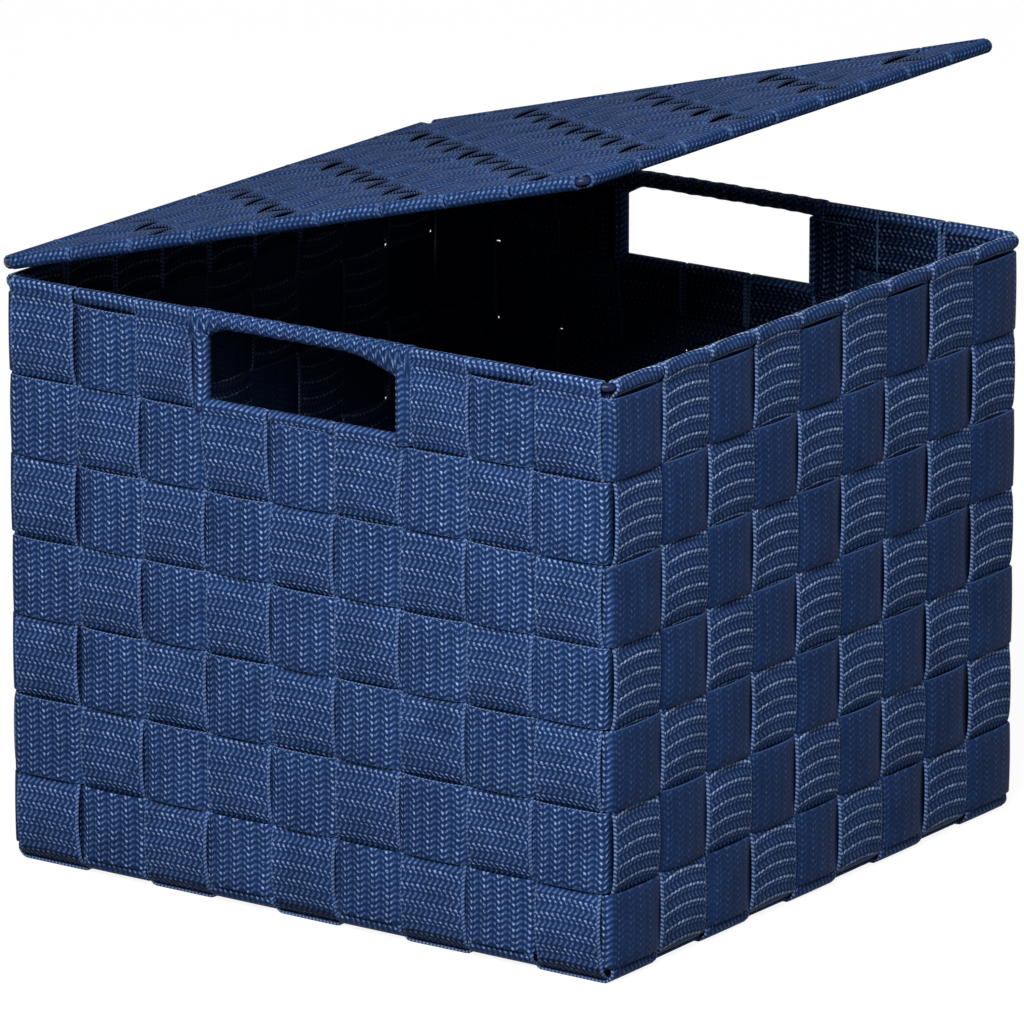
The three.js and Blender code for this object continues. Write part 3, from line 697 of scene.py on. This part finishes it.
for strap in range(1, STRAPS + 1):
    def under(crossed):
        return FLAT_LAYER if (HOOPS + crossed + strap) % 2 == 1 else -FLAT_LAYER
    half = wall_corners(lambda row: side_layer(strap, row), False, under(1), BULGE_SIDE, SIDE_DIVE, 0)
    for crossed in range(1, MIDDLE_STRAP):
        gap = (strap_x[crossed] + strap_x[crossed + 1]) / 2
        half.append([gap + BOTTOM_RUN, BOTTOM_Z - under(crossed), 0])
        half.append([gap - BOTTOM_RUN, BOTTOM_Z - under(crossed + 1), 0])
    strap_piece(f"side_side_strap_{strap}_webbing", side_webbing, both_sides(half),
                ((0, spread_out(strap_y[strap]), 0), (1, 0, 0), (0, 0, 1)), STRAP_WIDTH, "basket",
                seed=20 + strap)


# Hoops. Straps that run round all four walls, over and under the upright straps and
# round the corner posts, with their ends joined out of sight. The top one is cut at the
# hand slots into two halves, whose ends fold round the slot wires.
HOOP_SPREAD = 2.3
HOOP_SELVEDGE = 0.5
CORNER_CUT = 1.2
END_CUT = 1
SLOT_SPREAD = 4.0
SLOT_SIDE_RADIUS = 3.0
TAKEN_BY_FOLD = 2
CROSSING_PUSH = 2.2
LOWEST_TRIM = 2.6
# How much the hoops on the side walls are flattened and painted as shade.
SIDE_PRESS_AND_SHADE = 0.8
PRESS_AND_SHADE_FROM = 2.5
PRESS_AND_SHADE_RUN = 1.5
PRESS_AND_SHADE_CORNER_RUN = 3
HOOP_WIDTH = hoop_high[2] - hoop_low[2] + HOOP_SPREAD
SLOT_X = slot_high[0] - SLOT_WIRE_RADIUS + SLOT_SPREAD

hoop_webbing = webbing_material("hoop webbing", HOOP_WIDTH + 2 * (SELVEDGE - HOOP_SELVEDGE),
                                turns=(0.7, 0.35, 0.15), specular=0.02)
WALLS = [(np.array(along), np.array(out)) for along, out in (
    ((1, 0), (0, -1)), ((0, 1), (1, 0)), ((-1, 0), (0, 1)), ((0, -1), (-1, 0)))]


def hoop_sides(wall, row):
    """On which side the hoop lies at each strap of a wall, as the hoop meets them."""
    order = range(STRAPS, 0, -1) if wall in (0, 3) else range(1, STRAPS + 1)
    layer = front_layer if wall % 2 == 0 else side_layer
    return [-layer(strap, row) for strap in order]


def hoop_run(wall, row, first=0):
    """A hoop along one wall from its first strap, as [along, out, crown]. Where it starts
    beside a slot, its first crossing is pushed away from the slot."""
    sides = hoop_sides(wall, row)
    corners = []
    places = [(k - MIDDLE_STRAP + 0.5) * STRAP_PITCH for k in range(STRAPS + 1)]
    if first:
        places[first + 1] += CROSSING_PUSH
    places[0] = -WALL + END_CUT
    places[-1] = WALL - END_CUT
    for k in range(first, STRAPS):
        corners += weave_cell(places[k], places[k + 1], sides[k])
    return corners


def on_wall(wall, corners):
    along_axis, out_axis = WALLS[wall]
    return [[*(along_axis * a + out_axis * (WALL + out)), crown] for a, out, crown in corners]


def hoop_bend(wall, before, after):
    """The bend round the post between a wall and the next."""
    out_axis = WALLS[wall][1]
    next_axis = WALLS[(wall + 1) % 4][1]
    inset = WALL - BASE_SIDE
    corners = bend_corners(inset + before * LAYER, inset + after * LAYER, CORNER_CUT)
    return [[*(out_axis * (BASE_SIDE + a) + next_axis * (BASE_SIDE + b)), CAMBER] for a, b in corners]


def pressed_and_shaded_on_sides(path):
    """The hoops are pulled flat over the side walls, where their ribs hardly stand up; there
    they are also painted darker as shade, without highlight dots.
    """
    beyond = np.clip((np.abs(path[:, 0]) - WALL + PRESS_AND_SHADE_FROM) / PRESS_AND_SHADE_RUN, 0, 1)
    clear = np.clip((WALL - END_CUT - np.abs(path[:, 1])) / PRESS_AND_SHADE_CORNER_RUN, 0, 1)
    return SIDE_PRESS_AND_SHADE * beyond * clear


for row in range(2, HOOPS + 1):
    trim = LOWEST_TRIM if row == HOOPS else 0
    corners = []
    for wall in range(4):
        corners += on_wall(wall, hoop_run(wall, row))
        corners += hoop_bend(wall, hoop_sides(wall, row)[-1], hoop_sides((wall + 1) % 4, row)[0])
    strap_piece(f"hoop_{row}_webbing", hoop_webbing, corners,
                ((0, 0, (hoop_low[row] + hoop_high[row] + trim) / 2), (1, 0, 0), (0, 1, 0)),
                HOOP_WIDTH - trim, "basket", seed=40 + row, closed=True, press_and_shade=pressed_and_shaded_on_sides)

for name, turn in (("right", 1), ("left", -1)):
    run = hoop_run(0, 1, MIDDLE_STRAP + 1)
    layer = hoop_sides(0, 1)[MIDDLE_STRAP + 1] * LAYER
    fold = fold_round(SLOT_SIDE_RADIUS, STEEP_SLOPE, layer, SLOT_HEM)
    front = on_wall(0, [[SLOT_X + a, b, c] for a, b, c in fold] + run[TAKEN_BY_FOLD:])
    bend = hoop_bend(0, hoop_sides(0, 1)[-1], hoop_sides(1, 1)[0])
    back = [[x, -y, c] for x, y, c in reversed(front + bend)]
    corners = [[turn * x, turn * y, c] for x, y, c in front + bend + on_wall(1, hoop_run(1, 1)) + back]
    strap_piece(f"hoop_1_{name}_webbing", hoop_webbing, corners,
                ((0, 0, (hoop_low[1] + hoop_high[1]) / 2), (1, 0, 0), (0, 1, 0)),
                HOOP_WIDTH, "basket", seed=50 + turn, press_and_shade=pressed_and_shaded_on_sides)


# Wire frame. Steel wire painted navy: a rim, a base ring, four corner posts between them
# and a U round the sides and bottom of each hand slot, all welded together.
PAINT_COLOUR = (0.004, 0.010, 0.034)
PAINT_LIGHTER = 1.6
PAINT_ROUGHNESS = 0.3
PAINT_SPECULAR = 0.15
CHIP_SCALE = 300
CHIP_RELIEF = 0.00008
WIRE_SIDES = 14
ARC_STEPS = 8
POST_STATIONS = 5
RIM_CORNER = 4.5
BASE_CORNER = 4
SLOT_CORNER = 4
SLOT_ARC_STEPS = 6

paint, tree, shader = new_material("navy wire paint", PAINT_ROUGHNESS)
shader.inputs["Specular IOR Level"].default_value = PAINT_SPECULAR
place = tree.nodes.new("ShaderNodeTexCoord")
chips = tree.nodes.new("ShaderNodeTexNoise")
chips.inputs["Scale"].default_value = CHIP_SCALE
tree.links.new(place.outputs["Object"], chips.inputs["Vector"])
lighter = tuple(PAINT_LIGHTER * c for c in PAINT_COLOUR)
colour = mix_colour(tree, chips.outputs["Fac"], PAINT_COLOUR, lighter)
tree.links.new(colour, shader.inputs["Base Color"])
raise_surface(tree, shader, chips.outputs["Fac"], CHIP_RELIEF)


def tube_rings(points, radius, closed):
    """Rings round a path of 3-D points. They don't twist, because each starts square to the
    axis that the path follows least."""
    points = np.array(points, dtype=float)
    if closed:
        tangent = np.roll(points, -1, axis=0) - np.roll(points, 1, axis=0)
    else:
        tangent = np.gradient(points, axis=0)
    tangent /= np.linalg.norm(tangent, axis=1)[:, None]
    flat = np.argmin(np.abs(tangent).max(axis=0))
    side = np.zeros(3)
    side[flat] = 1
    first = np.cross(tangent, side)
    first /= np.linalg.norm(first, axis=1)[:, None]
    second = np.cross(tangent, first)
    angle = 2 * math.pi * np.arange(WIRE_SIDES) / WIRE_SIDES
    return (points[:, None, :] + radius * (np.cos(angle)[None, :, None] * first[:, None, :]
                                           + np.sin(angle)[None, :, None] * second[:, None, :]))


def round_loop(half_x, half_y, radius, centre_x=0):
    """A rectangle with rounded corners, as [x, y], with points close together only there."""
    points = []
    for quarter, (sx, sy) in enumerate(((1, -1), (1, 1), (-1, 1), (-1, -1))):
        for k in range(ARC_STEPS + 1):
            angle = (quarter - 1 + k / ARC_STEPS) * math.pi / 2
            points.append([centre_x + sx * (half_x - radius) + radius * math.cos(angle),
                           sy * (half_y - radius) + radius * math.sin(angle)])
    return points


def wire_piece(name, points, radius, body, closed=True, material=paint):
    """A round wire or cord along points, in one of the object's bodies."""
    points = np.array(points, dtype=float)
    rings = tube_rings(points, radius, closed)
    ends = np.vstack([points, points[:1]]) if closed else points
    along = np.concatenate([[0], np.cumsum(np.linalg.norm(np.diff(ends, axis=0), axis=1))])
    across = 2 * math.pi * radius * np.arange(rings.shape[1]) / rings.shape[1]
    piece = skin(name, rings, along, across, closed)
    piece.data.materials.append(material)
    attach(piece, body)
    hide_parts(name.removesuffix("_round"))


for name, side, height, corner in (("rim", WALL, RIM_Z, RIM_CORNER),
                                   ("base", BASE_SIDE, BASE_Z, BASE_CORNER)):
    wire_piece(f"{name}_wire_round", [[x, y, height] for x, y in round_loop(side, side, corner)],
               WIRE_RADIUS, "basket")
for name, sx, sy in (("front_right", 1, -1), ("back_right", 1, 1),
                     ("back_left", -1, 1), ("front_left", -1, -1)):
    low, high = box_mm(f"post_{name}")
    heights = np.linspace(low[2], high[2], POST_STATIONS)
    wire_piece(f"post_{name}_round", [[sx * BASE_SIDE, sy * BASE_SIDE, z] for z in heights],
               WIRE_RADIUS, "basket", closed=False)

slot_side = [[-SLOT_X, slot_high[2]], [-SLOT_X, (slot_high[2] + SLOT_Z) / 2]]
for k in range(SLOT_ARC_STEPS + 1):
    angle = math.pi + k / SLOT_ARC_STEPS * math.pi / 2
    slot_side.append([-SLOT_X + SLOT_CORNER + SLOT_CORNER * math.cos(angle),
                      SLOT_Z + SLOT_CORNER + SLOT_CORNER * math.sin(angle)])
slot_path = slot_side + [[-x, z] for x, z in reversed(slot_side)]
for name, side in (("front", -1), ("back", 1)):
    wire_piece(f"slot_wire_{name}_round", [[x, side * WALL, z] for x, z in slot_path],
               SLOT_WIRE_RADIUS, "basket", closed=False)


# Grips. Webbing wound lengthwise round the rim over each hand slot, padded out a little
# unevenly and drawn down into a gusset at each end, where it is sewn to the slot's sides.
# A lump is (size, turn, shift) and a gusset is (end, depth, run).
grip_low, grip_high = box_mm("grip_front")
GRIP_RADIUS = (grip_high[2] - grip_low[2]) / 2
GRIP_PAST_SLOT = 4
GRIP_REACH = SLOT_X + GRIP_PAST_SLOT
GRIP_TWIST = 1.5
GRIP_SIDES = 24
GRIP_STATIONS = 70
GRIP_SEAM = 11
LUMPS = ((0.12, 0.9, 1), (0.1, 0.37, 0))
GUSSET_CURVE = 1.6
LEFT_GUSSET = (-1, 10, 17.6)
FRONT_GUSSETS = (LEFT_GUSSET, (1, 10.5, 32.7))
BACK_GUSSETS = (LEFT_GUSSET, (1, 2, 12))
for name, side, gussets in (("front", -1, FRONT_GUSSETS), ("back", 1, BACK_GUSSETS)):
    stations = np.linspace(-GRIP_REACH, GRIP_REACH, GRIP_STATIONS)
    rings = []
    for x in stations:
        drop = 0
        for end, depth, run in gussets:
            toward = 1 - (GRIP_REACH - end * x) / run
            if toward > 0:
                drop += depth * toward ** GUSSET_CURVE
        radius = GRIP_RADIUS + sum(size * math.sin(turn * x + shift * side) for size, turn, shift in LUMPS)
        ring = []
        for k in range(GRIP_SIDES):
            angle = 2 * math.pi * k / GRIP_SIDES
            out = math.cos(angle)
            up = math.sin(angle)
            stretch = max(0, -up) * drop
            ring.append([x, side * WALL + radius * out, RIM_Z + radius * up - stretch])
        rings.append(ring)
    across = GRIP_RADIUS * 2 * math.pi * np.arange(GRIP_SIDES) / GRIP_SIDES - GRIP_SEAM
    piece = skin(f"grip_{name}_webbing", np.array(rings), GRIP_TWIST * stations, across, False,
                 lie=np.zeros((len(stations), 2)))
    piece.data.materials.append(hoop_webbing)
    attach(piece, "basket")
    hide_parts(f"grip_{name}")


# Lid frame. The lid's own wire, with rounded corners, that all of its straps fold round.
# Its left side lies on the rim and is the hinge.
LID_CORNER = 3.5
hinge_joint = frame["joints"][0]
HINGE = np.array(hinge_joint["pos_m"]) / MM
LID_ANGLE = math.radians(-hinge_joint["range_deg"][0])
lid_ahead = np.array([math.cos(LID_ANGLE), 0, math.sin(LID_ANGLE)])
lid_up = np.array([-math.sin(LID_ANGLE), 0, math.cos(LID_ANGLE)])


def lid_box(node):
    """A node's lowest and highest corners in the lid's own directions, from its hinge."""
    points = np.array([vertex.co for vertex in frame["nodes"][node].data.vertices]) / MM - HINGE
    turned = np.stack([points @ lid_ahead, points[:, 1], points @ lid_up], axis=1)
    return turned.min(axis=0), turned.max(axis=0)


low, high = lid_box("lid_wire")
LID_REACH = high[0] - WIRE_RADIUS
LID_HALF = high[1] - WIRE_RADIUS
loop = round_loop(LID_REACH / 2, LID_HALF, LID_CORNER, LID_REACH / 2)
wire_piece("lid_wire_round", [HINGE + x * lid_ahead + [0, y, 0] for x, y in loop], WIRE_RADIUS, "lid")


# Lid straps. Nine that lie along the hinge and nine that run from the hinge to the free
# edge, in a plain weave, each folded round the lid's wire and hemmed underneath. They
# arch unevenly and part a little more in two places. Their selvedges are painted dark as
# shade in the gaps between them, most of each dip is painted as shade in crevices, and
# their highlight dots are painted dimmer.
LID_SQUEEZE = 0.4
LID_BULGE = 1.15
LID_UNEVEN = (0.75, 1.3)
LID_DIVE = 5.4
LID_END_RUN = 1
LID_PARTING = 0.7
LONG_PARTED_AFTER = 8
CROSS_PARTED_AFTER = 4
# Dimmer painted highlight colour for the lid's dots.
LID_DOT_HIGHLIGHT_COLOUR = (0.135, 0.205, 0.390)
# Painted shade in the gaps between the lid's straps, on their selvedges.
LID_EDGE_SHADE_COLOUR = (0.0030, 0.0075, 0.024)

lid_webbing = webbing_material("lid webbing", STRAP_WIDTH - LID_SQUEEZE, turns=(0.6, 0.6, 0.3),
                               specular=0.005, dot_highlight_colour=LID_DOT_HIGHLIGHT_COLOUR, selvedge_and_shade_colour=LID_EDGE_SHADE_COLOUR,
                               bead_highlight_share=0.3, crevice_shade_start=0.05)


def lid_side(from_hinge, from_front):
    """1 where the long strap lies on top at a crossing, -1 where the cross strap does."""
    return 1 if (from_hinge + from_front) % 2 == 1 else -1


def lid_fold(half_length, side):
    """A lid strap's end folded round the wire, at the near end of its length."""
    slope = OUTER_SLOPE if side > 0 else INNER_SLOPE
    return [[a - half_length, b, c] for a, b, c in fold_round(FOLD_RADIUS, slope, side * LAYER, RIM_HEM)]


def lid_strap(name, half_length, centre, sides, plane, seed):
    """A lid strap, with its weave's middle at centre along it."""
    fold = lid_fold(half_length, sides[0])
    far = [[-a, b, c] for a, b, c in lid_fold(half_length, sides[-1])]
    uneven = np.random.default_rng(seed)
    corners = []
    for k, side in enumerate(sides):
        start = (k - MIDDLE_STRAP + 0.5) * STRAP_PITCH + centre
        end = start + STRAP_PITCH
        lead = LID_DIVE if side > 0 else 2 * CROSSING_RUN - LID_DIVE
        if k == 0:
            start = fold[-1][0] + LID_END_RUN - lead
        if k == STRAPS - 1:
            end = far[-1][0] - LID_END_RUN + lead
        corners += weave_cell(start, end, side, LID_BULGE * uneven.uniform(*LID_UNEVEN), LID_DIVE, LID_DIVE)
    strap_piece(name, lid_webbing, fold + corners + far[::-1], plane, STRAP_WIDTH - LID_SQUEEZE, "lid",
                seed, outside=-1)


low, high = lid_box("lid_long_strap_5")
weave_middle = (low[0] + high[0]) / 2
for strap in range(1, STRAPS + 1):
    low, high = lid_box(f"lid_long_strap_{strap}")
    parting = LID_PARTING if strap > LONG_PARTED_AFTER else 0
    place = HINGE + ((low[0] + high[0]) / 2 + parting) * lid_ahead
    lid_strap(f"lid_long_strap_{strap}_webbing", LID_HALF, 0,
              [lid_side(strap, k) for k in range(1, STRAPS + 1)],
              (place, (0, 1, 0), lid_up), seed=60 + strap)
for strap in range(1, STRAPS + 1):
    low, high = box_mm(f"lid_cross_strap_{strap}")
    place = HINGE + LID_REACH / 2 * lid_ahead
    parting = LID_PARTING if strap > CROSS_PARTED_AFTER else -LID_PARTING
    place[1] = (low[1] + high[1]) / 2 + parting
    lid_strap(f"lid_cross_strap_{strap}_webbing", LID_REACH / 2, weave_middle - LID_REACH / 2,
              [-lid_side(k, strap) for k in range(1, STRAPS + 1)],
              (place, lid_ahead, lid_up), seed=80 + strap)


# Hinge ties. Loops of twisted cord round the rim wire and the lid wire, in the gaps
# between straps, knotted out of sight.
CORD_COLOUR = (0.020, 0.040, 0.110)
CORD_SHADES = (0.4, 1.6)
CORD_ROUGHNESS = 0.8
CORD_PITCH = 1.6
CORD_SLANT = 5.0
CORD_RELIEF = 0.0002
TIES = 4
TIE_EASE = 0.25
TIE_ARC_STEPS = 12

cord, tree, shader = new_material("navy cord", CORD_ROUGHNESS)
cord_map = tree.nodes.new("ShaderNodeUVMap")
cord_map.uv_map = "strap"
spread = tree.nodes.new("ShaderNodeSeparateXYZ")
tree.links.new(cord_map.outputs["UV"], spread.inputs["Vector"])
lay = maths(tree, "ADD", maths(tree, "MULTIPLY", spread.outputs["X"], 2 * math.pi / CORD_PITCH),
            maths(tree, "MULTIPLY", spread.outputs["Y"], CORD_SLANT))
ply = ramp_between(tree, maths(tree, "SINE", lay), -1.0, 1.0)
# The plies are painted darker in the grooves between them and lighter on their crests: painted shade and
# highlight along the twist.
dark, light = (tuple(shade * c for c in CORD_COLOUR) for shade in CORD_SHADES)
tree.links.new(mix_colour(tree, ply, dark, light), shader.inputs["Base Color"])
raise_surface(tree, shader, ply, CORD_RELIEF)

rim_centre = np.array([-WALL, 0, RIM_Z])
lid_centre = HINGE * [1, 0, 1]
tie_lean = math.atan2(*(lid_centre - rim_centre)[[2, 0]])
for number in range(1, TIES + 1):
    low, high = box_mm(f"hinge_tie_{number}")
    cord_radius = (high[1] - low[1]) / 2
    reach = WIRE_RADIUS + cord_radius + TIE_EASE
    points = []
    for centre, start in ((lid_centre, -1), (rim_centre, 1)):
        for k in range(TIE_ARC_STEPS + 1):
            angle = tie_lean + start * math.pi / 2 + k / TIE_ARC_STEPS * math.pi
            points.append(centre + reach * np.array([math.cos(angle), 0, math.sin(angle)])
                          + [0, (low[1] + high[1]) / 2, 0])
    wire_piece(f"hinge_tie_{number}_round", points, cord_radius, "basket", material=cord)


# Studio. A white floor that keeps the basket's shadow, white all round, and one large soft
# lamp high in front and a little to the right.
FLOOR_SIZE = 6
FLOOR_GREY = 0.12
FLOOR_ROUGHNESS = 0.9
FLOOR_SEEN = 0.9
AMBIENT = 0.20
LAMP_AZIMUTH = math.radians(27)
LAMP_ELEVATION = math.radians(41)
LAMP_DISTANCE = 1.6
LAMP_AIM_HEIGHT = 0.12
LAMP_SIZE = 0.8
LAMP_POWER = 37.5


def seen_directly(tree):
    """1 for rays from the camera, from gloss and through glass, 0 for light on the object."""
    rays = tree.nodes.new("ShaderNodeLightPath")
    seen = maths(tree, "MAXIMUM", rays.outputs["Is Camera Ray"], rays.outputs["Is Glossy Ray"])
    return maths(tree, "MAXIMUM", seen, rays.outputs["Is Transmission Ray"])


half = FLOOR_SIZE / 2
corners = [(-half, -half, 0), (half, -half, 0), (half, half, 0), (-half, half, 0)]
floor_mesh = bpy.data.meshes.new("studio_floor")
floor_mesh.from_pydata(corners, [], [(0, 1, 2, 3)])
floor = bpy.data.objects.new("studio_floor", floor_mesh)
bpy.context.scene.collection.objects.link(floor)
floor_paint, tree, shader = new_material("white floor", FLOOR_ROUGHNESS)
shader.inputs["Base Color"].default_value = (FLOOR_GREY, FLOOR_GREY, FLOOR_GREY, 1)
glow = tree.nodes.new("ShaderNodeEmission")
tree.links.new(maths(tree, "MULTIPLY", seen_directly(tree), FLOOR_SEEN), glow.inputs["Strength"])
both = tree.nodes.new("ShaderNodeAddShader")
tree.links.new(shader.outputs["BSDF"], both.inputs[0])
tree.links.new(glow.outputs["Emission"], both.inputs[1])
tree.links.new(both.outputs["Shader"], tree.nodes["Material Output"].inputs["Surface"])
floor_mesh.materials.append(floor_paint)

world = bpy.data.worlds.new("white studio")
bpy.context.scene.world = world
world.use_nodes = True
tree = world.node_tree
sky = tree.nodes["Background"]
sky.inputs["Color"].default_value = (1, 1, 1, 1)
brighter = maths(tree, "MULTIPLY", seen_directly(tree), 1 - AMBIENT)
tree.links.new(maths(tree, "ADD", brighter, AMBIENT), sky.inputs["Strength"])

light = bpy.data.lights.new("key lamp", "AREA")
light.shape = "DISK"
light.size = LAMP_SIZE
light.energy = LAMP_POWER
lamp = bpy.data.objects.new("key lamp", light)
lamp.location = (LAMP_DISTANCE * math.sin(LAMP_AZIMUTH) * math.cos(LAMP_ELEVATION),
                 -LAMP_DISTANCE * math.cos(LAMP_AZIMUTH) * math.cos(LAMP_ELEVATION),
                 LAMP_AIM_HEIGHT + LAMP_DISTANCE * math.sin(LAMP_ELEVATION))
lamp.rotation_euler = (math.pi / 2 - LAMP_ELEVATION, 0, LAMP_AZIMUTH)
lamp.visible_camera = False
bpy.context.scene.collection.objects.link(lamp)

bpy.context.scene.view_settings.view_transform = "Standard"
